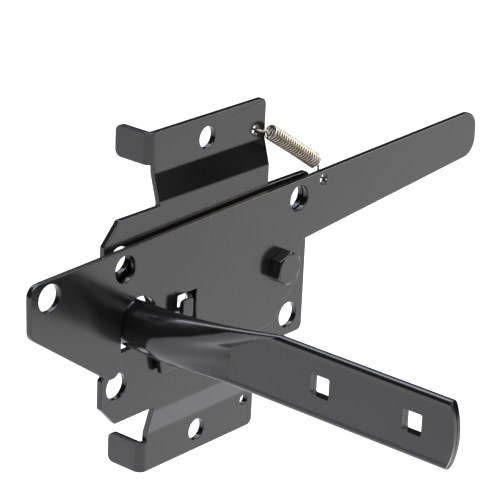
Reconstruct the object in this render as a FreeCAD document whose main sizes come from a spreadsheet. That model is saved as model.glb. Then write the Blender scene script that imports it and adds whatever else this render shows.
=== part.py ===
import FreeCAD, Part
import math
import os
import Sketcher

# Post-mounted automatic gate latch.
# Frame: X runs along the plates, +Z is up, and the latch faces -Y.
# The origin is on the post's face (Y = 0), midway between the two lag screw holes.

doc = FreeCAD.newDocument("gate_latch")
sheet = doc.addObject("Spreadsheet::Sheet", "dims")

driving = [
    ("sheet_thick", 2.66, "12 gauge plate"),
    ("joggle", 3.1, "main plate stands this far off the post"),
    ("plate_gap", 1.2, "between the base and the lever"),
    ("flange_left", 30.4, "flat of the flange ends, left of the screw holes"),
    ("flange_right", 35.5, ""),
    ("flange_top", 72.5, "half height of the base"),
    ("outer_bend", 55.7, "flange to band"),
    ("inner_bend", 44.6, "band to main plate"),
    ("flange_corner", 3.0, "corner radius"),
    ("screw_rise", 63.5, "lag screw holes, from the middle"),
    ("screw_bore", 9.0, "for 5/16 in lag screws"),
    ("spring_hole_x", 29.7, ""),
    ("spring_hole_z", 59.7, ""),
    ("spring_bore", 4.4, ""),
    ("main_left", 61.0, ""),
    ("main_right", 62.0, ""),
    ("main_half", 42.8, "half height left of the flanges"),
    ("main_narrow", 35.8, "half height right of the flanges"),
    ("main_chamfer_x", 8.2, ""),
    ("main_chamfer_z", 8.8, ""),
    ("main_corner", 3.0, "corner radius"),
    ("hole_x", 52.4, "corner holes"),
    ("hole_z", 26.6, ""),
    ("hole_bore", 11.0, ""),
    ("slot_half", 12.6, "strike slot"),
    ("slot_centre", 46.6, "centre of the slot's round end"),
    ("slot_flare_x", 50.5, ""),
    ("slot_flare_z", 21.8, ""),
    ("wrap_out", 3.5, "outer bend radius of the wrap tabs"),
    ("wrap_depth", 15.6, "reach of the wrap tabs past the post's face"),
    ("wrap_bottom", 59.3, ""),
    ("wrap_corner", 3.0, ""),
    ("bend_round", 5.0, "bends of the two bands"),
    ("bend_mitre", 0.36, "sheet thickness times the tangent of half the bend"),
    ("stop_thick", 2.2, "lanced travel stop"),
    ("stop_half", 3.8, ""),
    ("stop_front", 14.4, "its face, from the post"),
    ("stop_left", 24.2, ""),
    ("stop_root", 8.6, "front of the stop: root, knee and shoulder"),
    ("stop_knee_x", 12.1, ""),
    ("stop_knee_rise", 1.0, "above the main plate"),
    ("stop_shoulder", 18.5, ""),
    ("stop_under_root", 9.0, "back of the stop: root, knee and shoulder"),
    ("stop_under_knee", 13.6, ""),
    ("stop_under_shoulder", 19.3, ""),
    ("stop_corner", 1.8, ""),
    ("lance_half", 4.4, ""),
    ("lance_left", 24.8, ""),
    ("pivot_x", 41.0, ""),
    ("pivot_bore", 8.3, ""),
    ("rest_tilt", 1.5, "degrees that the hook end hangs low against its stop"),
    ("lever_left", 144.6, "lever sizes are from its pivot"),
    ("lever_tip", 135.0, ""),
    ("lever_top", 34.6, ""),
    ("lever_bottom", 25.2, ""),
    ("handle_root", 7.1, "underside of the handle at the neck"),
    ("handle_tip", 14.1, "underside of the handle at the tip"),
    ("neck_x", 12.4, ""),
    ("heel_z", 9.0, ""),
    ("heel_x", 4.2, ""),
    ("heel_round", 7.0, ""),
    ("cam_high", 13.6, ""),
    ("cam_low", 22.7, ""),
    ("notch_left", 95.4, ""),
    ("notch_right", 75.5, ""),
    ("notch_foot", 71.9, "the wall leans back to here, so that it clears the tube as it lifts"),
    ("notch_bend", 5.0, "below the pivot's height"),
    ("notch_rise", 2.55, "centre of the notch's round top"),
    ("window_inner", 52.2, "window radii about the pivot"),
    ("window_outer", 63.1, ""),
    ("window_top", 5.7, ""),
    ("window_bottom", 19.8, ""),
    ("cord_x", 134.6, ""),
    ("cord_z", 27.4, ""),
    ("lock_left", 93.4, "meets the base's left hole when the lever is level"),
    ("lock_right", 11.2, ""),
    ("lever_spring_x", 26.8, ""),
    ("lever_spring_z", 30.8, ""),
    ("tip_round", 8.0, ""),
    ("neck_round", 4.0, ""),
    ("lobe_round", 5.0, ""),
    ("sleeve_outer", 11.0, ""),
    ("sleeve_bore", 11.1, "pivot bore of the lever"),
    ("sleeve_inner", 8.1, ""),
    ("head_gap", 0.15, ""),
    ("head_flats", 13.0, "M8 hexagon"),
    ("head_high", 5.3, ""),
    ("head_turn", 23.7, ""),
    ("shank", 8.0, ""),
    ("spacer_outer", 20.0, ""),
    ("spacer_inner", 11.3, ""),
    ("spacer_thick", 1.1, ""),
    ("backing_outer", 16.0, ""),
    ("backing_thick", 1.0, ""),
    ("tail_width", 11.0, "peened end of the pivot bolt"),
    ("tail_high", 1.5, ""),
    ("tube_outer", 19.05, "3/4 in tube"),
    ("tube_wall", 1.9, ""),
    ("tube_x", 44.5, ""),
    ("tube_drop", 1.6, "the tube lies this far below the middle of the slot"),
    ("tube_rear", 21.0, "reach behind the post's face"),
    ("tube_straight", 14.0, "round up to here"),
    ("flat_start", 77.0, "flat from here"),
    ("strike_end", 157.0, ""),
    ("crown_round", 34.0, "radius of the flat's end"),
    ("squash_near", 33.0, "half thickness of the squashed tube along its taper"),
    ("squash_near_half", 8.0, ""),
    ("squash_far", 55.0, ""),
    ("squash_far_half", 4.4, ""),
    ("bolt_near", 95.4, "square holes"),
    ("bolt_far", 138.2, ""),
    ("bolt_square", 8.6, "for M8 or 5/16 in carriage bolts"),
    ("spring_outer", 6.4, ""),
    ("spring_wire", 0.9, ""),
    ("coil_top_x", 34.6, "ends of the coil's axis"),
    ("coil_top_front", 5.9, ""),
    ("coil_top_z", 58.8, ""),
    ("coil_end_x", 65.0, ""),
    ("coil_end_front", 6.1, ""),
    ("coil_end_z", 39.0, ""),
    ("hook_reach", 2.6, "straight wire past the coil, at the base"),
    ("hook_stub", 1.6, "and at the lever"),
]


class Size:
    """A number and the spreadsheet expression that gives it."""

    def __init__(self, value, text):
        self.value = value
        self.text = text

    def join(self, other, sign, value):
        if isinstance(other, Size):
            right = other.text
        else:
            right = repr(other) + (" mm" if sign in "+-" else "")
        if sign in "*/" and isinstance(other, Size):
            raise ValueError("lengths are only scaled by plain numbers")
        return Size(value, "(" + self.text + " " + sign + " " + right + ")")

    def __add__(self, other):
        return self.join(other, "+", self.value + number(other))

    def __sub__(self, other):
        return self.join(other, "-", self.value - number(other))

    def __mul__(self, other):
        return self.join(other, "*", self.value * number(other))

    def __truediv__(self, other):
        return self.join(other, "/", self.value / number(other))

    def __neg__(self):
        return Size(-self.value, "(0 mm - " + self.text + ")")


def number(item):
    return item.value if isinstance(item, Size) else item


class Sizes:
    pass


D = Sizes()
for row, (alias, value, note) in enumerate(driving, 1):
    sheet.set("A%d" % row, alias)
    sheet.set("B%d" % row, str(value))
    sheet.setAlias("B%d" % row, alias)
    sheet.set("C%d" % row, note)
    setattr(D, alias, Size(value, "dims." + alias + " * 1 mm"))
doc.recompute()


def newBody(name):
    body = doc.addObject("PartDesign::Body", name)
    body.Label = name
    return body


def sketchOn(body, role, lift=None):
    sketch = body.newObject("Sketcher::SketchObject", body.Name + "_sketch")
    support = [item for item in body.Origin.OriginFeatures if item.Role == role]
    sketch.AttachmentSupport = [(support[0], "")]
    sketch.MapMode = "FlatFace"
    if lift is not None:
        sketch.AttachmentOffset = FreeCAD.Placement(FreeCAD.Vector(0, 0, lift.value), FreeCAD.Rotation())
        sketch.setExpression("AttachmentOffset.Base.z", lift.text)
    return sketch


def bind(sketch, kind, size, *where):
    spot = sketch.addConstraint(Sketcher.Constraint(kind, *where, number(size)))
    if isinstance(size, Size):
        sketch.setExpression("Constraints[%d]" % spot, size.text)


def pinPoint(sketch, geometry, end, x, z):
    for kind, axis, size in (("DistanceX", -2, x), ("DistanceY", -1, z)):
        if abs(number(size)) < 1e-9:
            sketch.addConstraint(Sketcher.Constraint("PointOnObject", geometry, end, axis))
        else:
            bind(sketch, kind, size, -1, 1, geometry, end)


def outline(sketch, points):
    first = sketch.GeometryCount
    count = len(points)
    flat = [FreeCAD.Vector(number(x), number(z), 0) for x, z in points]
    for k in range(count):
        sketch.addGeometry(Part.LineSegment(flat[k], flat[(k + 1) % count]), False)
    for k in range(count):
        following = first + (k + 1) % count
        sketch.addConstraint(Sketcher.Constraint("Coincident", first + k, 2, following, 1))
    for k, (x, z) in enumerate(points):
        pinPoint(sketch, first + k, 1, x, z)


def circle(sketch, x, z, bore):
    centre = FreeCAD.Vector(number(x), number(z), 0)
    k = sketch.addGeometry(Part.Circle(centre, FreeCAD.Vector(0, 0, 1), bore.value / 2), False)
    if abs(number(x)) < 1e-9 and abs(number(z)) < 1e-9:
        sketch.addConstraint(Sketcher.Constraint("Coincident", k, 3, -1, 1))
    else:
        pinPoint(sketch, k, 3, x, z)
    bind(sketch, "Diameter", bore, k)


def pad(body, sketch, length):
    feature = body.newObject("PartDesign::Pad", body.Name + "_pad")
    feature.Profile = sketch
    feature.Length = length.value
    feature.setExpression("Length", length.text)
    doc.recompute()
    return feature


def cutThrough(body, sketch):
    before = body.Shape.Volume
    feature = body.newObject("PartDesign::Pocket", body.Name + "_cut")
    feature.Profile = sketch
    feature.SideType = "Two sides"
    feature.Type = "ThroughAll"
    feature.Type2 = "ThroughAll"
    doc.recompute()
    if body.Shape.Volume > before - 0.1:
        raise RuntimeError(feature.Name + " cuts nothing")
    return feature


def cornerEdges(shape, along, places):
    """Names of the straight edges that run along an axis through the given places."""
    names = []
    for k, edge in enumerate(shape.Edges, 1):
        if not isinstance(edge.Curve, Part.Line):
            continue
        step = edge.Vertexes[1].Point - edge.Vertexes[0].Point
        others = [axis for axis in range(3) if axis != along]
        if any(abs(step[axis]) > 1e-6 for axis in others):
            continue
        spot = [edge.Vertexes[0].Point[axis] for axis in others]
        if any(math.dist(spot, [number(a), number(b)]) < 0.01 for a, b in places):
            names.append("Edge%d" % k)
    return names


def roundCorners(body, along, places, radius):
    tip = body.Tip
    names = cornerEdges(tip.Shape, along, places)
    if len(names) < len(places):
        raise RuntimeError("corners of " + body.Name + " not found")
    feature = body.newObject("PartDesign::Fillet", body.Name + "_round")
    feature.Base = (tip, names)
    feature.Radius = radius.value
    feature.setExpression("Radius", radius.text)
    doc.recompute()


X_AXIS, Y_AXIS, Z_AXIS = range(3)
MIRROR = (1, -1)


def signed(size, sign):
    return size if sign > 0 else -size


mainFront = D.joggle + D.sheet_thick
leverBack = mainFront + D.plate_gap
leverFront = leverBack + D.sheet_thick
headUnder = leverFront + D.head_gap


def makeBase():
    body = newBody("base_plate")
    wide = D.flange_left + D.flange_right
    sketch = sketchOn(body, "YZ_Plane", -D.flange_left)
    front = -D.sheet_thick
    proud = -mainFront
    outline(sketch, [
        (front, D.flange_top), (front, D.outer_bend), (proud, D.inner_bend),
        (proud, -D.inner_bend), (front, -D.outer_bend), (front, -D.flange_top),
        (0, -D.flange_top), (0, D.bend_mitre - D.outer_bend),
        (-D.joggle, D.bend_mitre - D.inner_bend), (-D.joggle, D.inner_bend - D.bend_mitre),
        (0, D.outer_bend - D.bend_mitre), (0, D.flange_top)])
    pad(body, sketch, wide)
    bends = []
    for sign in MIRROR:
        bends += [(front, signed(D.outer_bend, sign)), (proud, signed(D.inner_bend, sign))]
        bends += [(0, signed(D.outer_bend - D.bend_mitre, sign))]
        bends += [(-D.joggle, signed(D.inner_bend - D.bend_mitre, sign))]
    roundCorners(body, X_AXIS, bends, D.bend_round)
    corners = [(D.flange_right, signed(D.flange_top, sign)) for sign in MIRROR]
    roundCorners(body, Y_AXIS, corners, D.flange_corner)

    sketch = sketchOn(body, "XZ_Plane", D.joggle)
    inset = D.flange_right - 1
    outline(sketch, [
        (-D.main_left, D.main_half - D.main_chamfer_z), (D.main_chamfer_x - D.main_left, D.main_half),
        (inset, D.main_half), (inset, D.main_narrow), (D.main_right, D.main_narrow),
        (D.main_right, -D.main_narrow), (inset, -D.main_narrow), (inset, -D.main_half),
        (D.main_chamfer_x - D.main_left, -D.main_half), (-D.main_left, D.main_chamfer_z - D.main_half)])
    pad(body, sketch, D.sheet_thick)
    corners = [(D.main_right, signed(D.main_narrow, sign)) for sign in MIRROR]
    roundCorners(body, Y_AXIS, corners, D.main_corner)

    sketch = sketchOn(body, "XZ_Plane")
    mouth = -D.main_left - 2
    outline(sketch, [
        (-D.slot_centre, D.slot_half), (-D.slot_flare_x, D.slot_half), (-D.main_left, D.slot_flare_z),
        (mouth, D.slot_flare_z), (mouth, -D.slot_flare_z), (-D.main_left, -D.slot_flare_z),
        (-D.slot_flare_x, -D.slot_half), (-D.slot_centre, -D.slot_half)])
    cutThrough(body, sketch)
    sketch = sketchOn(body, "XZ_Plane")
    circle(sketch, -D.slot_centre, 0, D.slot_half * 2)
    cutThrough(body, sketch)

    sketch = sketchOn(body, "XZ_Plane")
    for sign in MIRROR:
        circle(sketch, 0, signed(D.screw_rise, sign), D.screw_bore)
        circle(sketch, D.spring_hole_x, signed(D.spring_hole_z, sign), D.spring_bore)
        for side in MIRROR:
            circle(sketch, signed(D.hole_x, side), signed(D.hole_z, sign), D.hole_bore)
    circle(sketch, D.pivot_x, 0, D.pivot_bore)
    cutThrough(body, sketch)

    addWraps(body)
    addStop(body)
    return body


def addWraps(body):
    outer = -D.flange_left - D.wrap_out
    inner = outer + D.sheet_thick
    inset = -D.flange_left + 1
    tall = D.flange_top - D.wrap_bottom
    for low in (D.wrap_bottom, -D.flange_top):
        sketch = sketchOn(body, "XY_Plane", low)
        outline(sketch, [
            (inset, -D.sheet_thick), (outer, -D.sheet_thick), (outer, D.wrap_depth),
            (inner, D.wrap_depth), (inner, 0), (inset, 0)])
        pad(body, sketch, tall)
    roundCorners(body, Z_AXIS, [(outer, -D.sheet_thick)], D.wrap_out)
    roundCorners(body, Z_AXIS, [(inner, 0)], D.wrap_out - D.sheet_thick)
    ends = []
    for sign in MIRROR:
        ends += [(D.wrap_depth, signed(D.wrap_bottom, sign)), (D.wrap_depth, signed(D.flange_top, sign))]
    roundCorners(body, X_AXIS, ends, D.wrap_corner)


def addStop(body):
    sketch = sketchOn(body, "XZ_Plane")
    outline(sketch, [
        (-D.lance_left, D.lance_half), (-D.stop_under_root, D.lance_half),
        (-D.stop_under_root, -D.lance_half), (-D.lance_left, -D.lance_half)])
    cutThrough(body, sketch)
    sketch = sketchOn(body, "XY_Plane", -D.stop_half)
    inset = -D.stop_root + 2
    under = D.stop_thick - D.stop_front
    outline(sketch, [
        (inset, -mainFront), (-D.stop_root, -mainFront), (-D.stop_knee_x, -mainFront - D.stop_knee_rise),
        (-D.stop_shoulder, -D.stop_front), (-D.stop_left, -D.stop_front), (-D.stop_left, under),
        (-D.stop_under_shoulder, under), (-D.stop_under_knee, D.stop_knee_rise * 0.5 - mainFront),
        (-D.stop_under_root, -D.joggle), (inset, -D.joggle)])
    pad(body, sketch, D.stop_half * 2)
    corners = [(-D.stop_left, signed(D.stop_half, sign)) for sign in MIRROR]
    roundCorners(body, Y_AXIS, corners, D.stop_corner)


def makeLever():
    body = newBody("latch_lever")
    sketch = sketchOn(body, "XZ_Plane", leverBack)
    outline(sketch, [
        (-D.lever_left, D.lever_top), (D.lever_tip, D.lever_top), (D.lever_tip, D.handle_tip),
        (D.neck_x, D.handle_root), (D.neck_x, -D.heel_z), (-D.heel_x, -D.lever_bottom),
        (-D.notch_foot, -D.lever_bottom), (-D.notch_right, -D.notch_bend), (-D.notch_right, D.notch_rise),
        (-D.notch_left, D.notch_rise), (-D.notch_left, -D.cam_low), (-D.lever_left, D.cam_high)])
    pad(body, sketch, D.sheet_thick)
    tips = [(D.lever_tip, D.lever_top), (D.lever_tip, D.handle_tip)]
    roundCorners(body, Y_AXIS, tips, D.tip_round)
    roundCorners(body, Y_AXIS, [(D.neck_x, D.handle_root)], D.neck_round)
    heels = [(D.neck_x, -D.heel_z), (-D.heel_x, -D.lever_bottom)]
    roundCorners(body, Y_AXIS, heels, D.heel_round)
    lobes = [(-D.lever_left, D.lever_top), (-D.lever_left, D.cam_high), (-D.notch_left, -D.cam_low)]
    roundCorners(body, Y_AXIS, lobes, D.lobe_round)

    sketch = sketchOn(body, "XZ_Plane")
    notch = -(D.notch_left + D.notch_right) / 2
    circle(sketch, notch, D.notch_rise, D.notch_left - D.notch_right)
    cutThrough(body, sketch)

    sketch = sketchOn(body, "XZ_Plane")
    circle(sketch, 0, 0, D.sleeve_bore)
    circle(sketch, -D.cord_x, D.cord_z, D.hole_bore)
    circle(sketch, -D.lock_left, D.hole_z, D.hole_bore)
    circle(sketch, D.lock_right, D.hole_z, D.hole_bore)
    circle(sketch, D.lever_spring_x, D.lever_spring_z, D.spring_bore)
    cutThrough(body, sketch)

    sketch = sketchOn(body, "XZ_Plane")
    windowArcs(sketch)
    cutThrough(body, sketch)

    body.Placement = FreeCAD.Placement(
        FreeCAD.Vector(D.pivot_x.value, 0, 0), FreeCAD.Rotation(FreeCAD.Vector(0, -1, 0), D.rest_tilt.value))
    body.setExpression("Placement.Base.x", D.pivot_x.text)
    body.setExpression("Placement.Rotation.Angle", "dims.rest_tilt * 1 deg")
    return body


def windowArcs(sketch):
    """A slot on the left of the pivot, between two arcs about it."""
    up = FreeCAD.Vector(0, 0, 1)
    centre = FreeCAD.Vector(0, 0, 0)
    ends = []
    for radius in (D.window_inner, D.window_outer):
        start = math.pi - math.asin(D.window_top.value / radius.value)
        stop = math.pi + math.asin(D.window_bottom.value / radius.value)
        k = sketch.addGeometry(Part.ArcOfCircle(Part.Circle(centre, up, radius.value), start, stop), False)
        sketch.addConstraint(Sketcher.Constraint("Coincident", k, 3, -1, 1))
        bind(sketch, "Radius", radius, k)
        bind(sketch, "DistanceY", D.window_top, -1, 1, k, 1)
        bind(sketch, "DistanceY", -D.window_bottom, -1, 1, k, 2)
        ends.append(k)
    inner, outer = ends
    for corner in (1, 2):
        a = sketch.getPoint(inner, corner)
        b = sketch.getPoint(outer, corner)
        k = sketch.addGeometry(Part.LineSegment(a, b), False)
        sketch.addConstraint(Sketcher.Constraint("Coincident", k, 1, inner, corner))
        sketch.addConstraint(Sketcher.Constraint("Coincident", k, 2, outer, corner))


def atPivot(body):
    body.Placement = FreeCAD.Placement(FreeCAD.Vector(D.pivot_x.value, 0, 0), FreeCAD.Rotation())
    body.setExpression("Placement.Base.x", D.pivot_x.text)


def makeRing(name, inner, outer, low, length):
    body = newBody(name)
    sketch = sketchOn(body, "XZ_Plane", low)
    circle(sketch, 0, 0, inner)
    circle(sketch, 0, 0, outer)
    pad(body, sketch, length)
    atPivot(body)
    return body


def makeBolt():
    body = newBody("pivot_bolt")
    sketch = sketchOn(body, "XZ_Plane", headUnder)
    turn = FreeCAD.Rotation(FreeCAD.Vector(0, 0, 1), D.head_turn.value)
    sketch.AttachmentOffset = FreeCAD.Placement(FreeCAD.Vector(0, 0, headUnder.value), turn)
    sketch.setExpression("AttachmentOffset.Base.z", headUnder.text)
    point = D.head_flats / math.sqrt(3)
    flat = D.head_flats / 2
    outline(sketch, [
        (point, 0), (point / 2, flat), (-point / 2, flat),
        (-point, 0), (-point / 2, -flat), (point / 2, -flat)])
    pad(body, sketch, D.head_high)

    sketch = sketchOn(body, "YZ_Plane")
    top = -headUnder - D.head_high
    crown = D.head_flats * 0.48
    reach = D.head_flats * 0.62
    outline(sketch, [(top, crown), (top - 0.5, crown), (top - 0.5, reach), (top + (reach - crown) * 0.58, reach)])
    groove = body.newObject("PartDesign::Groove", "pivot_bolt_chamfer")
    groove.Profile = sketch
    axis = [item for item in body.Origin.OriginFeatures if item.Role == "Y_Axis"]
    groove.ReferenceAxis = (axis[0], [""])
    groove.Angle = 360
    doc.recompute()

    backing = D.joggle - D.backing_thick
    tail = backing - D.tail_high
    sketch = sketchOn(body, "XZ_Plane", tail)
    circle(sketch, 0, 0, D.shank)
    pad(body, sketch, headUnder - tail)
    sketch = sketchOn(body, "XZ_Plane", tail)
    circle(sketch, 0, 0, D.tail_width)
    pad(body, sketch, D.tail_high)
    atPivot(body)
    return body


def squashSection(sketch, half):
    """A tube of this half thickness, pressed flat towards its gate side, with its wall length kept."""
    radius = D.tube_outer / 2
    tall = (D.tube_outer - half * 2) * (math.pi / 4)
    right = radius
    left = radius - half * 2
    mid = radius - half
    up = FreeCAD.Vector(0, 0, 1)
    corners = [(right, -tall), (right, tall), (left, tall), (left, -tall)]
    flat = [FreeCAD.Vector(x.value, z.value, 0) for x, z in corners]
    over = Part.Circle(FreeCAD.Vector(mid.value, tall.value, 0), up, half.value)
    below = Part.Circle(FreeCAD.Vector(mid.value, -tall.value, 0), up, half.value)
    sketch.addGeometry(Part.LineSegment(flat[0], flat[1]), False)
    sketch.addGeometry(Part.ArcOfCircle(over, 0, math.pi), False)
    sketch.addGeometry(Part.LineSegment(flat[2], flat[3]), False)
    sketch.addGeometry(Part.ArcOfCircle(below, math.pi, 2 * math.pi), False)
    for a, b in ((0, 1), (1, 2), (2, 3), (3, 0)):
        sketch.addConstraint(Sketcher.Constraint("Coincident", a, 2, b, 1))
    pinPoint(sketch, 0, 1, right, -tall)
    pinPoint(sketch, 0, 2, right, tall)
    pinPoint(sketch, 2, 1, left, tall)
    pinPoint(sketch, 2, 2, left, -tall)
    bind(sketch, "DistanceY", tall, -1, 1, 1, 3)
    bind(sketch, "DistanceY", -tall, -1, 1, 3, 3)


def roundSection(sketch, radius):
    """A circle in four arcs, so that it meets the four sides of the squashed sections."""
    up = FreeCAD.Vector(0, 0, 1)
    lean = math.radians(12)
    turns = [-lean, lean, math.pi - lean, math.pi + lean, 2 * math.pi - lean]
    ring = Part.Circle(FreeCAD.Vector(0, 0, 0), up, radius.value)
    for k in range(4):
        sketch.addGeometry(Part.ArcOfCircle(ring, turns[k], turns[k + 1]), False)
    for k in range(3):
        sketch.addConstraint(Sketcher.Constraint("Coincident", k, 3, -1, 1))
    for k in range(4):
        sketch.addConstraint(Sketcher.Constraint("Coincident", k, 2, (k + 1) % 4, 1))
    bind(sketch, "Radius", radius, 0)
    bind(sketch, "Radius", radius, 3)
    rise = radius * math.sin(lean)
    for k, sign in ((0, -1), (1, 1), (2, 1), (3, -1)):
        bind(sketch, "DistanceY", signed(rise, sign), -1, 1, k, 1)


def loft(body, kind, profile, sections):
    feature = body.newObject("PartDesign::" + kind, body.Name + "_loft")
    feature.Profile = profile
    feature.Sections = sections
    feature.Ruled = False
    doc.recompute()
    return feature


def makeStrike():
    body = newBody("strike_bar")
    radius = D.tube_outer / 2
    sketch = sketchOn(body, "XZ_Plane", -D.tube_rear)
    circle(sketch, 0, 0, D.tube_outer)
    pad(body, sketch, D.tube_rear + D.tube_straight)

    sections = []
    for lift, half in ((D.squash_near, D.squash_near_half), (D.squash_far, D.squash_far_half),
                       (D.flat_start, D.tube_wall)):
        sketch = sketchOn(body, "XZ_Plane", lift)
        squashSection(sketch, half)
        sections.append(sketch)
    start = sketchOn(body, "XZ_Plane", D.tube_straight)
    roundSection(start, radius)
    doc.recompute()
    loft(body, "AdditiveLoft", start, sections)

    sketch = sketchOn(body, "XZ_Plane", D.flat_start)
    squashSection(sketch, D.tube_wall)
    pad(body, sketch, D.strike_end - D.flat_start)
    cutStrike(body)
    body.Placement = FreeCAD.Placement(
        FreeCAD.Vector(-D.tube_x.value, 0, -D.tube_drop.value), FreeCAD.Rotation())
    body.setExpression("Placement.Base.x", (-D.tube_x).text)
    body.setExpression("Placement.Base.z", (-D.tube_drop).text)
    return body


def cutStrike(body):
    sketch = sketchOn(body, "XZ_Plane", -D.tube_rear)
    circle(sketch, 0, 0, D.tube_outer - D.tube_wall * 2)
    bore = body.newObject("PartDesign::Pocket", "strike_bar_bore")
    bore.Profile = sketch
    bore.Reversed = True
    depth = D.tube_rear + D.tube_straight + 5
    bore.Length = depth.value
    bore.setExpression("Length", depth.text)
    before = body.Shape.Volume
    doc.recompute()
    if body.Shape.Volume > before - 1000:
        raise RuntimeError("the tube's bore cuts nothing")

    sketch = sketchOn(body, "YZ_Plane")
    half = D.bolt_square / 2
    for place in (D.bolt_near, D.bolt_far):
        outline(sketch, [
            (-place - half, half), (half - place, half), (half - place, -half), (-place - half, -half)])
    cutThrough(body, sketch)

    sketch = sketchOn(body, "YZ_Plane")
    tall = D.tube_outer * 0.9
    past = -D.strike_end - 3
    middle = D.crown_round - D.strike_end
    lean = math.asin(tall.value / D.crown_round.value)
    rim = middle.value - D.crown_round.value * math.cos(lean)
    corners = [(rim, -tall.value), (past.value, -tall.value), (past.value, tall.value), (rim, tall.value)]
    flat = [FreeCAD.Vector(x, z, 0) for x, z in corners]
    ring = Part.Circle(FreeCAD.Vector(middle.value, 0, 0), FreeCAD.Vector(0, 0, 1), D.crown_round.value)
    sketch.addGeometry(Part.ArcOfCircle(ring, math.pi - lean, math.pi + lean), False)
    for k in range(3):
        sketch.addGeometry(Part.LineSegment(flat[k], flat[k + 1]), False)
    for k in range(4):
        sketch.addConstraint(Sketcher.Constraint("Coincident", k, 2, (k + 1) % 4, 1))
    pinPoint(sketch, 0, 3, middle, 0)
    bind(sketch, "Radius", D.crown_round, 0)
    bind(sketch, "DistanceY", tall, -1, 1, 0, 1)
    bind(sketch, "DistanceY", -tall, -1, 1, 0, 2)
    pinPoint(sketch, 2, 1, past, -tall)
    pinPoint(sketch, 2, 2, past, tall)
    cutThrough(body, sketch)


def makeSpring():
    """A close-wound coil as one hollow sleeve, with a wire hook at each end."""
    wire = D.spring_wire.value
    outer = D.spring_outer.value / 2
    upper = FreeCAD.Vector(D.coil_top_x.value, -D.coil_top_front.value, D.coil_top_z.value)
    lower = FreeCAD.Vector(D.coil_end_x.value, -D.coil_end_front.value, D.coil_end_z.value)
    run = lower - upper
    ahead = FreeCAD.Vector(run).normalize()
    coil = Part.makeCylinder(outer, run.Length, upper, run)
    hollow = Part.makeCylinder(outer - wire, run.Length - wire * 2, upper + ahead * wire, run)
    shape = coil.cut(hollow)

    leverBody = doc.getObject("latch_lever")
    eye = leverBody.Placement.multVec(FreeCAD.Vector(D.lever_spring_x.value, 0, D.lever_spring_z.value))
    post = FreeCAD.Vector(D.spring_hole_x.value, 0, D.spring_hole_z.value)
    backOut = -leverBack.value + wire * 0.9
    frontOut = -leverFront.value - wire * 1.7
    hooks = [
        [upper + ahead * (wire / 2), upper - ahead * D.hook_reach.value,
         post + FreeCAD.Vector(0, -D.sheet_thick.value - wire * 1.7, wire * 0.7),
         post + FreeCAD.Vector(0, wire * 1.5, 0)],
        [lower - ahead * (wire / 2), lower + ahead * D.hook_stub.value,
         eye + FreeCAD.Vector(wire * 0.5, backOut, wire * 2),
         eye + FreeCAD.Vector(0, backOut, 0), eye + FreeCAD.Vector(0, frontOut, 0)]]
    for path in hooks:
        for start, stop in zip(path, path[1:]):
            leg = stop - start
            shape = shape.fuse(Part.makeCylinder(wire / 2, leg.Length, start, leg))
        for knee in path[1:-1]:
            shape = shape.fuse(Part.makeSphere(wire / 2, knee))
    spring = doc.addObject("Part::Feature", "return_spring")
    spring.Label = "return_spring"
    spring.Shape = shape.removeSplitter()
    return spring


pieces = [makeBase(), makeLever(), makeBolt()]
pieces.append(makeRing("pivot_sleeve", D.sleeve_inner, D.sleeve_outer, mainFront, headUnder - mainFront))
pieces.append(makeRing("spacer_washer", D.spacer_inner, D.spacer_outer, mainFront, D.spacer_thick))
pieces.append(makeRing("backing_washer", D.sleeve_inner, D.backing_outer,
                       D.joggle - D.backing_thick, D.backing_thick))
pieces.append(makeStrike())
pieces.append(makeSpring())
doc.recompute()

for item in doc.Objects:
    if any(word in item.State for word in ("Invalid", "Error")):
        raise RuntimeError(item.Label + " failed: " + str(item.State))
os.makedirs("parts", exist_ok=True)
for piece in pieces:
    if piece.Shape.isNull() or not piece.Shape.isValid() or len(piece.Shape.Solids) != 1:
        raise RuntimeError(piece.Label + " is not one valid solid")
    piece.Shape.exportStep("parts/" + piece.Label + ".step")
    box = piece.Shape.BoundBox
    print("%-15s %9.1f mm3  x %.1f..%.1f  y %.1f..%.1f  z %.1f..%.1f" % (
        piece.Label, piece.Shape.Volume, box.XMin, box.XMax, box.YMin, box.YMax, box.ZMin, box.ZMax))
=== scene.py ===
import bmesh
import bpy
import math
from mathutils import Matrix, Vector


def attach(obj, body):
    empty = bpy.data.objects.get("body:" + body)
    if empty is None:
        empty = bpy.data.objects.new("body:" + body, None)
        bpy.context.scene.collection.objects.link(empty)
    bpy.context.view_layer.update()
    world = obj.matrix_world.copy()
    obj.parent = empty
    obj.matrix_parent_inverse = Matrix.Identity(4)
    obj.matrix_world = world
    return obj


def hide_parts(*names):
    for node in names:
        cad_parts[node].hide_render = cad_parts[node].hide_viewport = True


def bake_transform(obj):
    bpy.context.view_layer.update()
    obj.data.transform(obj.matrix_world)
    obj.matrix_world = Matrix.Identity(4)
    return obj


# Post-mounted gate latch: pressed plates on a pivot bolt, a flattened-tube strike bar and a wire spring.
# X runs along the plates, +Z is up and the latch faces -Y. Everything is in metres.

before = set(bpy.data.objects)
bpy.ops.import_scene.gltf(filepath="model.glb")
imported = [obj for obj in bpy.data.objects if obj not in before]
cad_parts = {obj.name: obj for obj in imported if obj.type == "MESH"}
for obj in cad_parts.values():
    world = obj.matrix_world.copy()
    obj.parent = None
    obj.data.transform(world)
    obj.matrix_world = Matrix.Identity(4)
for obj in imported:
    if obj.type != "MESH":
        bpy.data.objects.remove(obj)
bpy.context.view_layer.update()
print("frame loaded:", sorted(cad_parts))


def mm(value):
    return value / 1000


def hexColour(code):
    parts = [int(code[i:i + 2], 16) / 255 for i in (1, 3, 5)]
    return [c / 12.92 if c <= 0.04045 else ((c + 0.055) / 1.055) ** 2.4 for c in parts] + [1.0]


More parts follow.
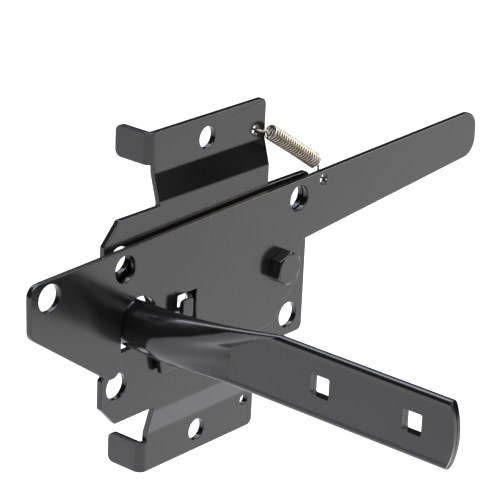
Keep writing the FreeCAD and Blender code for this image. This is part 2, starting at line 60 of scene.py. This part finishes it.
def addNode(tree, kind, settings=None, links=None):
    node = tree.nodes.new(kind)
    for name, value in (settings or {}).items():
        if hasattr(node, name):
            setattr(node, name, value)
        else:
            node.inputs[name].default_value = value
    for name, socket in (links or {}).items():
        tree.links.new(socket, node.inputs[name])
    return node


def newMaterial(name):
    material = bpy.data.materials.new(name)
    material.use_nodes = True
    tree = material.node_tree
    shader = tree.nodes["Principled BSDF"]
    place = addNode(tree, "ShaderNodeTexCoord")
    return material, tree, shader, place.outputs["Object"]


def grain(tree, place, size, detail=2.0):
    # noise whose features are about this many metres across
    return addNode(tree, "ShaderNodeTexNoise", {"Scale": 1 / size, "Detail": detail}, {"Vector": place})


def spread(tree, source, low, high):
    # noise keeps mostly between these two values
    limits = {"To Min": low, "To Max": high, "From Min": 0.3, "From Max": 0.7}
    return addNode(tree, "ShaderNodeMapRange", limits, {"Value": source}).outputs["Result"]


def twoColours(tree, shader, drift, first, second):
    # the base colour wanders between two colours as the noise does
    blend = addNode(tree, "ShaderNodeMix", {"data_type": "RGBA"})
    tree.links.new(spread(tree, drift.outputs["Fac"], 0, 1), blend.inputs["Factor"])
    colours = [s for s in blend.inputs if s.type == "RGBA"]
    colours[0].default_value = hexColour(first)
    colours[1].default_value = hexColour(second)
    mixed = [s for s in blend.outputs if s.type == "RGBA"][0]
    tree.links.new(mixed, shader.inputs["Base Color"])


blackCoat = {
    "colour": "#0d0d0e", "colourThin": "#131313",
    "peelSize": mm(1.3),        # orange peel ripples
    "peelDepth": mm(0.012),
    "speckSize": mm(0.35), "speckShare": 0.2,
    "patchSize": mm(35),        # slow drift in the film's gloss
    "roughLow": 0.15, "roughHigh": 0.2,
    "ior": 1.5,
}


def makeBlackCoat():
    # polyester powder coat, semi-gloss black, baked: soft reflections with faint orange peel
    cfg = blackCoat
    material, tree, shader, place = newMaterial("powderCoatBlack")
    drift = grain(tree, place, cfg["patchSize"])
    peel = grain(tree, place, cfg["peelSize"], 1.0)
    speck = grain(tree, place, cfg["speckSize"], 0.0)
    twoColours(tree, shader, drift, cfg["colour"], cfg["colourThin"])
    rough = spread(tree, drift.outputs["Fac"], cfg["roughLow"], cfg["roughHigh"])
    tree.links.new(rough, shader.inputs["Roughness"])
    both = addNode(tree, "ShaderNodeMath", {"operation": "ADD"})
    tree.links.new(peel.outputs["Fac"], both.inputs[0])
    fine = addNode(tree, "ShaderNodeMath", {"operation": "MULTIPLY"})
    tree.links.new(speck.outputs["Fac"], fine.inputs[0])
    fine.inputs[1].default_value = cfg["speckShare"]
    tree.links.new(fine.outputs[0], both.inputs[1])
    bump = addNode(tree, "ShaderNodeBump", {"Distance": cfg["peelDepth"], "Strength": 1.0},
                   {"Height": both.outputs[0]})
    tree.links.new(bump.outputs["Normal"], shader.inputs["Normal"])
    shader.inputs["IOR"].default_value = cfg["ior"]
    return material


plated = {
    "zincPlate": {"colour": "#9b9c9d", "stain": "#85878b", "roughLow": 0.28, "roughHigh": 0.42,
                  "markSize": mm(0.3)},
    "nickelWire": {"colour": "#a29b8c", "stain": "#867e70", "roughLow": 0.22, "roughHigh": 0.34,
                   "markSize": mm(0.25)},
}
plating = {"stainSize": mm(2.2), "stainDetail": 3.0, "markDepth": mm(0.004)}


def makePlated(name):
    # plated steel: metallic, with soft stains in its colour and fine drawing marks
    cfg = plated[name]
    material, tree, shader, place = newMaterial(name)
    shader.inputs["Metallic"].default_value = 1.0
    stains = grain(tree, place, plating["stainSize"], plating["stainDetail"])
    marks = grain(tree, place, cfg["markSize"], 1.0)
    twoColours(tree, shader, stains, cfg["colour"], cfg["stain"])
    rough = spread(tree, marks.outputs["Fac"], cfg["roughLow"], cfg["roughHigh"])
    tree.links.new(rough, shader.inputs["Roughness"])
    bump = addNode(tree, "ShaderNodeBump", {"Distance": plating["markDepth"], "Strength": 1.0},
                   {"Height": marks.outputs["Fac"]})
    tree.links.new(bump.outputs["Normal"], shader.inputs["Normal"])
    return material


powderCoat = makeBlackCoat()
zincPlate = makePlated("zincPlate")
nickelWire = makePlated("nickelWire")
print("materials made")


def newPiece(name, mesh, material):
    piece = bpy.data.objects.new(name, mesh)
    bpy.context.scene.collection.objects.link(piece)
    piece.data.materials.clear()
    piece.data.materials.append(material)
    return piece


def bake(piece):
    # turns the live modifiers into plain mesh
    graph = bpy.context.evaluated_depsgraph_get()
    mesh = bpy.data.meshes.new_from_object(piece.evaluated_get(graph))
    piece.modifiers.clear()
    piece.data = mesh
    return piece


def steadyNormals(piece):
    # flat faces keep their own normal, and the eased edges carry the turn
    steady = piece.modifiers.new("steady", "WEIGHTED_NORMAL")
    steady.mode = "FACE_AREA"
    steady.weight = 100
    steady.keep_sharp = True


easing = {"weld": mm(0.002), "flatWithin": 0.4, "sharpest": 28}     # the last two in degrees


def easedCopy(node, name, material, width, segments):
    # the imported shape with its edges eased; clamping is off, because the curves' short edges would
    # shrink the ease to almost nothing
    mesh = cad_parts[node].data.copy()
    shape = bmesh.new()
    shape.from_mesh(mesh)
    bmesh.ops.remove_doubles(shape, verts=shape.verts, dist=easing["weld"])
    bmesh.ops.dissolve_limit(shape, angle_limit=math.radians(easing["flatWithin"]), verts=shape.verts,
                             edges=shape.edges)
    shape.to_mesh(mesh)
    shape.free()
    for face in mesh.polygons:
        face.use_smooth = True
    piece = newPiece(name, mesh, material)
    bevel = piece.modifiers.new("eased", "BEVEL")
    bevel.width = width
    bevel.segments = segments
    bevel.limit_method = "ANGLE"
    bevel.angle_limit = math.radians(easing["sharpest"])
    bevel.use_clamp_overlap = False
    steadyNormals(piece)
    return bake(piece)


pressed = {
    "base_plate": {"name": "basePlate", "body": "base", "ease": mm(0.4), "segments": 3},
    "latch_lever": {"name": "latchLever", "body": "lever", "ease": mm(0.5), "segments": 3},
    "pivot_bolt": {"name": "pivotBolt", "body": "base", "ease": mm(0.22), "segments": 2},
}
for node, cfg in pressed.items():
    piece = easedCopy(node, cfg["name"], powderCoat, cfg["ease"], cfg["segments"])
    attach(piece, cfg["body"])
    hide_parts(node)
    print("eased", node, len(piece.data.polygons), "faces")

turned = {
    "pivot_sleeve": {"name": "pivotSleeve", "ease": mm(0.1), "segments": 2},
    "spacer_washer": {"name": "spacerWasher", "ease": mm(0.1), "segments": 2},
    "backing_washer": {"name": "backingWasher", "ease": mm(0.1), "segments": 2},
}
for node, cfg in turned.items():
    piece = easedCopy(node, cfg["name"], zincPlate, cfg["ease"], cfg["segments"])
    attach(piece, "base")
    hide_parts(node)
print("washers and sleeve done")


# the strike bar is a tube pressed flat from its middle outwards
strike = {
    "radius": mm(9.525), "wall": mm(1.9),
    "centreX": mm(-44.5), "centreZ": mm(-1.6),
    "rear": mm(-21), "roundTo": mm(11), "end": mm(157),
    "middleFlat": mm(51),               # the flat starts here in the middle, and later towards its edges
    "allFlat": mm(79),
    "rakeUp": 2.15, "rakeDown": 0.0, "tipRound": mm(3),     # how its start slopes away above and below
    "lowerTo": mm(-8), "upperFrom": mm(6),                  # between these heights the two halves blend
    "thinFrom": mm(22), "thinUp": 2.0, "thinDown": 1.5,     # where it starts to lose thickness, how gently
    "thinShare": 0.3,                   # the lower half follows that power this much, and eases for the rest
    "growUp": 1.2, "growDown": 1.0,     # how the two halves spread
    "rimSwell": mm(0.22), "rimWide": mm(3.2),               # the folded edges stay a little thicker
    "boreEnd": 0.5, "boreHigh": 0.9,
    "crown": mm(34), "crownFrom": 3.85, "crownRun": 0.15,   # radius of the flat's end, and its stages
    "seamHalf": mm(0.16), "seamDeep": mm(0.6), "seamHigh": 0.93, "seamClose": 0.3,
    "squareHoles": (mm(95.4), mm(138.2)), "square": mm(8.6), "squareRound": mm(0.7), "squareTurns": 5,
    "cutterReach": mm(8), "rimOpen": mm(0.3),
    "ease": mm(0.25), "segments": 2, "sharpest": 50,
    "around": 112, "tubeRings": 10, "pressRings": 56, "meetRings": 10, "flatRings": 24,
}


def ease(low, high, at):
    t = min(max((at - low) / (high - low), 0), 1)
    return t * t * (3 - 2 * t)


def flatPoint(share, half, straight):
    # a point this share of the way round the flattened section, from the middle of its gate side
    gate = strike["radius"]
    s = share * (2 * math.pi * half + 4 * straight)
    bend = math.pi * half
    if s < straight:
        return gate, s
    if s < straight + bend:
        turn = (s - straight) / half
        return gate - half + half * math.cos(turn), straight + half * math.sin(turn)
    if s < 3 * straight + bend:
        return gate - 2 * half, 2 * straight + bend - s
    if s < 3 * straight + 2 * bend:
        turn = (s - 3 * straight - bend) / half
        return gate - half - half * math.cos(turn), -straight - half * math.sin(turn)
    return gate, s - 4 * straight - 2 * bend


def barPoint(share, stage, inner=False):
    # stage runs 0 to 1 along the round tube, to 2 as it is pressed, to 3 where all of it is flat,
    # and to 4 at the end
    cfg = strike
    turn = share * 2 * math.pi
    radius = cfg["radius"] - (cfg["wall"] if inner else 0)
    roundX, roundZ = radius * math.cos(turn), radius * math.sin(turn)
    half = cfg["wall"]
    straight = (cfg["radius"] - half) * math.pi / 2
    flatX, flatZ = flatPoint(share, half, straight)
    tall = straight + half
    if inner:
        flatX, flatZ = cfg["radius"] - half, flatZ * cfg["boreHigh"]
    elif flatX < cfg["radius"] - half:
        flatX -= cfg["rimSwell"] * ease(tall - cfg["rimWide"], tall - half, abs(flatZ))
    upper = ease(cfg["lowerTo"], cfg["upperFrom"], flatZ)
    rake = cfg["rakeDown"] + (cfg["rakeUp"] - cfg["rakeDown"]) * upper
    meets = cfg["middleFlat"] + rake * (math.hypot(flatZ, cfg["tipRound"]) - cfg["tipRound"])
    if stage <= 1:
        return roundX, roundZ, cfg["rear"] + (cfg["roundTo"] - cfg["rear"]) * stage
    if stage <= 2:
        t = stage - 1
        reach = cfg["roundTo"] + (meets - cfg["roundTo"]) * t
        near = (reach - cfg["thinFrom"]) / (meets - cfg["thinFrom"])
        above = max(0, near) ** cfg["thinUp"]
        share = cfg["thinShare"]
        below = max(0, near) ** cfg["thinDown"] * share + ease(0, 1, near) * (1 - share)
        thin = upper * above + (1 - upper) * below
        grow = upper * t ** cfg["growUp"] + (1 - upper) * t ** cfg["growDown"]
        return roundX + (flatX - roundX) * thin, roundZ + (flatZ - roundZ) * grow, reach
    if stage <= 3:
        return flatX, flatZ, meets + (cfg["allFlat"] - meets) * (stage - 2)
    reach = cfg["allFlat"] + (cfg["end"] - cfg["allFlat"]) * (stage - 3)
    drop = cfg["crown"] - math.sqrt(cfg["crown"] ** 2 - flatZ ** 2)
    return flatX, flatZ, reach - drop * max(0, stage - cfg["crownFrom"]) / cfg["crownRun"]


def stages(inner=False):
    cfg = strike
    made = [k / cfg["tubeRings"] for k in range(cfg["tubeRings"])]
    if inner:
        count = round(cfg["pressRings"] * cfg["boreEnd"])
        return made + [1 + k / cfg["pressRings"] for k in range(count + 1)]
    made += [1 + k / cfg["pressRings"] for k in range(cfg["pressRings"])]
    made += [2 + (k / cfg["meetRings"]) ** 2 for k in range(cfg["meetRings"])]      # closest at the crease
    return made + [3 + k / cfg["flatRings"] for k in range(cfg["flatRings"] + 1)]


def makeStrike():
    cfg = strike
    shape = bmesh.new()
    shares = [(k + 0.5) / cfg["around"] for k in range(cfg["around"])]

    def ring(points):
        return [shape.verts.new((x + cfg["centreX"], -reach, z + cfg["centreZ"])) for x, z, reach in points]

    def skin(made):
        for a, b in zip(made, made[1:]):
            for k in range(len(a)):
                n = (k + 1) % len(a)
                shape.faces.new([a[k], a[n], b[n], b[k]])

    outer = [ring([barPoint(share, stage) for share in shares]) for stage in stages()]
    last = [barPoint(share, 4) for share in shares]
    middle = cfg["radius"] - cfg["wall"]
    lips, depths = [], []
    for x, z, reach in last:
        side = 1 if x > middle else -1
        high = z * cfg["seamHigh"]
        lips.append((middle + side * cfg["seamHalf"], high, reach))
        depths.append((middle + side * cfg["seamHalf"] * cfg["seamClose"], high, reach - cfg["seamDeep"]))
    outer += [ring(lips), ring(depths)]
    skin(outer)
    shape.faces.new(outer[-1])
    inner = [ring([barPoint(share, stage, True) for share in shares]) for stage in stages(True)]
    skin(inner)
    shape.faces.new(inner[-1])
    skin([outer[0], inner[0]])
    bmesh.ops.recalc_face_normals(shape, faces=shape.faces)
    mesh = bpy.data.meshes.new("strikeBar")
    shape.to_mesh(mesh)
    shape.free()
    for face in mesh.polygons:
        face.use_smooth = True
    return mesh


def squareCutter(place):
    # a square bar along X with rounded corners, and a thin rim where the two walls meet
    cfg = strike
    shape = bmesh.new()
    middle = cfg["centreX"] + cfg["radius"] - cfg["wall"]
    rim, far, turns = cfg["seamHalf"], cfg["cutterReach"], cfg["squareTurns"]
    rings = []
    for x, swell in ((middle - far, 0), (middle - rim, 0), (middle, cfg["rimOpen"]), (middle + rim, 0),
                     (middle + far, 0)):
        half = cfg["square"] / 2 - cfg["squareRound"] + swell
        ring = []
        for k, (sideY, sideZ) in enumerate(((1, 1), (-1, 1), (-1, -1), (1, -1))):
            for j in range(turns):
                turn = math.pi / 2 * (k + j / (turns - 1))
                y = -place + sideY * half + cfg["squareRound"] * math.cos(turn)
                z = cfg["centreZ"] + sideZ * half + cfg["squareRound"] * math.sin(turn)
                ring.append(shape.verts.new((x, y, z)))
        rings.append(ring)
    for a, b in zip(rings, rings[1:]):
        for k in range(len(a)):
            n = (k + 1) % len(a)
            shape.faces.new([a[k], a[n], b[n], b[k]])
    shape.faces.new(rings[0])
    shape.faces.new(rings[-1])
    bmesh.ops.recalc_face_normals(shape, faces=shape.faces)
    mesh = bpy.data.meshes.new("cutter")
    shape.to_mesh(mesh)
    shape.free()
    return bpy.data.objects.new("cutter", mesh)


def finishStrike():
    cfg = strike
    piece = newPiece("strikeBar", makeStrike(), powderCoat)
    for place in cfg["squareHoles"]:
        cutter = squareCutter(place)
        bpy.context.scene.collection.objects.link(cutter)
        cut = piece.modifiers.new("hole", "BOOLEAN")
        cut.operation = "DIFFERENCE"
        cut.solver = "EXACT"
        cut.object = cutter
        bake(piece)
        bpy.data.objects.remove(cutter)
    bevel = piece.modifiers.new("eased", "BEVEL")
    bevel.width = cfg["ease"]
    bevel.segments = cfg["segments"]
    bevel.limit_method = "ANGLE"
    bevel.angle_limit = math.radians(cfg["sharpest"])
    steadyNormals(piece)
    bake(piece)
    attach(piece, "strike")
    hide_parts("strike_bar")
    print("strike bar done", len(piece.data.polygons), "faces")


finishStrike()


spring = {
    "top": Vector((mm(34.6), mm(-5.9), mm(58.8))),      # ends of the coil's axis
    "end": Vector((mm(65.0), mm(-6.1), mm(39.0))),
    "outer": mm(6.8), "wire": mm(1.0), "turns": 21, "perTurn": 28, "aroundWire": 10,
    "postHole": Vector((mm(29.7), mm(-1.33), mm(59.7))),
    "leverHole": Vector((mm(66.98), mm(-8.29), mm(31.49))),
    "swing": 2, "postRise": 2.2, "leverRise": 2.0,      # how far each hook stands off the coil, in wires
    "postSteps": (Vector((mm(2.0), mm(-3.6), mm(-0.4))), Vector((0, mm(-3.0), mm(0.3))),
                  Vector((mm(-0.6), mm(2.6), mm(0.1)))),        # each hook's way through its hole
    "leverSteps": (Vector((mm(0.6), mm(2.4), mm(3.2))), Vector((mm(0.1), mm(2.2), mm(0.2))),
                   Vector((0, mm(-2.6), mm(0.1)))),
}


def coilTree():
    # a helix of round wire
    tree = bpy.data.node_groups.new("springCoil", "GeometryNodeTree")
    face = tree.interface
    for name, kind, value in (("Turns", "NodeSocketFloat", 10.0), ("Radius", "NodeSocketFloat", 0.003),
                              ("Length", "NodeSocketFloat", 0.03), ("Wire", "NodeSocketFloat", 0.0004),
                              ("Per Turn", "NodeSocketInt", 24), ("Around Wire", "NodeSocketInt", 8),
                              ("Finish", "NodeSocketMaterial", None)):
        socket = face.new_socket(name, in_out="INPUT", socket_type=kind)
        if value is not None:
            socket.default_value = value
    face.new_socket("Geometry", in_out="OUTPUT", socket_type="NodeSocketGeometry")
    given = addNode(tree, "NodeGroupInput").outputs
    helix = addNode(tree, "GeometryNodeCurveSpiral", None, {
        "Resolution": given["Per Turn"], "Rotations": given["Turns"], "Start Radius": given["Radius"],
        "End Radius": given["Radius"], "Height": given["Length"]})
    profile = addNode(tree, "GeometryNodeCurvePrimitiveCircle", None, {
        "Resolution": given["Around Wire"], "Radius": given["Wire"]})
    wire = addNode(tree, "GeometryNodeCurveToMesh", {"Fill Caps": True}, {
        "Curve": helix.outputs["Curve"], "Profile Curve": profile.outputs["Curve"]})
    smooth = addNode(tree, "GeometryNodeSetShadeSmooth", None, {"Geometry": wire.outputs["Mesh"]})
    real = addNode(tree, "GeometryNodeRealizeInstances", None, {"Geometry": smooth.outputs["Geometry"]})
    finish = addNode(tree, "GeometryNodeSetMaterial", None, {
        "Geometry": real.outputs["Geometry"], "Material": given["Finish"]})
    addNode(tree, "NodeGroupOutput", None, {"Geometry": finish.outputs["Geometry"]})
    return tree


def runTree(piece, tree, values):
    modifier = piece.modifiers.new("nodes", "NODES")
    modifier.node_group = tree
    for item in tree.interface.items_tree:
        if item.item_type == "SOCKET" and item.in_out == "INPUT" and item.name in values:
            modifier[item.identifier] = values[item.name]
    return bake(piece)


def wirePiece(points, radius, around):
    # round wire along a smooth line through the given points
    curve = bpy.data.curves.new("hook", "CURVE")
    curve.dimensions = "3D"
    line = curve.splines.new("NURBS")
    line.points.add(len(points) - 1)
    for target, point in zip(line.points, points):
        target.co = (*point, 1)
    line.order_u = 3
    line.use_endpoint_u = True
    line.resolution_u = 8
    curve.bevel_depth = radius
    curve.bevel_resolution = max(1, around // 4)
    curve.use_fill_caps = True
    hook = bpy.data.objects.new("hook", curve)
    bpy.context.scene.collection.objects.link(hook)
    graph = bpy.context.evaluated_depsgraph_get()
    mesh = bpy.data.meshes.new_from_object(hook.evaluated_get(graph))
    bpy.data.objects.remove(hook)
    return mesh


def makeSpring():
    cfg = spring
    run = cfg["end"] - cfg["top"]
    ahead = run.normalized()
    radius = (cfg["outer"] - cfg["wire"]) / 2
    piece = newPiece("returnSpring", bpy.data.meshes.new("returnSpring"), nickelWire)
    runTree(piece, coilTree(), {
        "Turns": float(cfg["turns"]), "Radius": radius, "Length": run.length, "Wire": cfg["wire"] / 2,
        "Per Turn": cfg["perTurn"], "Around Wire": cfg["aroundWire"], "Finish": nickelWire})
    turn = Vector((0, 0, 1)).rotation_difference(ahead).to_matrix().to_4x4()
    place = Matrix.Translation(cfg["top"]) @ turn
    piece.data.transform(place)
    first = place @ Vector((radius, 0, 0))
    last = place @ Vector((radius, 0, run.length))
    side = place.to_3x3() @ Vector((0, 1, 0))
    wire = cfg["wire"]
    hookTop = [first, first - side * wire * cfg["swing"] - ahead * wire,
               cfg["top"] - ahead * wire * cfg["postRise"]]
    hookTop += [cfg["postHole"] + step for step in cfg["postSteps"]]
    hookEnd = [last, last + side * wire * cfg["swing"] + ahead * wire,
               cfg["end"] + ahead * wire * cfg["leverRise"]]
    hookEnd += [cfg["leverHole"] + step for step in cfg["leverSteps"]]
    shape = bmesh.new()
    shape.from_mesh(piece.data)
    for points in (hookTop, hookEnd):
        hook = wirePiece(points, wire / 2, cfg["aroundWire"])
        shape.from_mesh(hook)
    shape.to_mesh(piece.data)
    shape.free()
    for face in piece.data.polygons:
        face.use_smooth = True
    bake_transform(piece)
    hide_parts("return_spring")
    print("spring done", len(piece.data.polygons), "faces")


makeSpring()


studio = {
    "floorZ": mm(-420), "floorSize": 30, "floorColour": "#e6e6e6", "floorRough": 0.9,
    "world": "#30302f", "worldStrength": 0.35,
}


def makeFloor():
    cfg = studio
    half, z = cfg["floorSize"] / 2, cfg["floorZ"]
    mesh = bpy.data.meshes.new("floor")
    mesh.from_pydata([(-half, -half, z), (half, -half, z), (half, half, z), (-half, half, z)], [],
                     [(0, 1, 2, 3)])
    material = newMaterial("paperSweep")[0]
    shader = material.node_tree.nodes["Principled BSDF"]
    shader.inputs["Base Color"].default_value = hexColour(cfg["floorColour"])
    shader.inputs["Roughness"].default_value = cfg["floorRough"]
    floor = newPiece("floor", mesh, material)
    world = bpy.data.worlds.new("studio")
    world.use_nodes = True
    sky = world.node_tree.nodes["Background"]
    sky.inputs["Color"].default_value = hexColour(cfg["world"])
    sky.inputs["Strength"].default_value = cfg["worldStrength"]
    bpy.context.scene.world = world


lights = {
    "overhead": {"at": (-0.4, -0.3, 3.2), "size": 4.5, "energy": 412, "colour": "#fbfbfe"},
    "keyRight": {"at": (2.6, -1.5, 1.7), "size": 1.2, "energy": 54, "colour": "#fffaf2"},
    "softBack": {"at": (0.6, 1.3, 1.6), "size": 1.4, "energy": 17, "colour": "#dfe4ff"},
}
focus = Vector((mm(18), mm(-12), mm(14)))


def makeLights():
    for name, cfg in lights.items():
        lamp = bpy.data.lights.new(name, "AREA")
        lamp.shape = "SQUARE"
        lamp.size = cfg["size"]
        lamp.energy = cfg["energy"]
        lamp.color = hexColour(cfg["colour"])[:3]
        holder = bpy.data.objects.new(name, lamp)
        bpy.context.scene.collection.objects.link(holder)
        holder.location = cfg["at"]
        away = Vector(cfg["at"]) - focus
        holder.rotation_euler = away.to_track_quat("Z", "Y").to_euler()


camera = {
    "at": Vector((mm(-710.4), mm(-614.2), mm(383.3))),
    "azimuth": -50.42, "elevation": 21.36, "roll": 2.64,    # degrees
    "lens": 180.9, "sensor": 36, "near": 0.05, "far": 60,
}


def makeCamera():
    cfg = camera
    data = bpy.data.cameras.new("view")
    data.lens = cfg["lens"]
    data.sensor_width = cfg["sensor"]
    data.clip_start = cfg["near"]
    data.clip_end = cfg["far"]
    holder = bpy.data.objects.new("view", data)
    bpy.context.scene.collection.objects.link(holder)
    a, e = math.radians(cfg["azimuth"]), math.radians(cfg["elevation"])
    back = Vector((math.sin(a) * math.cos(e), -math.cos(a) * math.cos(e), math.sin(e)))
    turn = back.to_track_quat("Z", "Y").to_matrix() @ Matrix.Rotation(math.radians(cfg["roll"]), 3, "Z")
    holder.matrix_world = Matrix.Translation(cfg["at"]) @ turn.to_4x4()
    bpy.context.scene.camera = holder


makeFloor()
makeLights()
makeCamera()
bpy.context.scene.view_settings.view_transform = "Standard"
print("stage, lights and camera done")
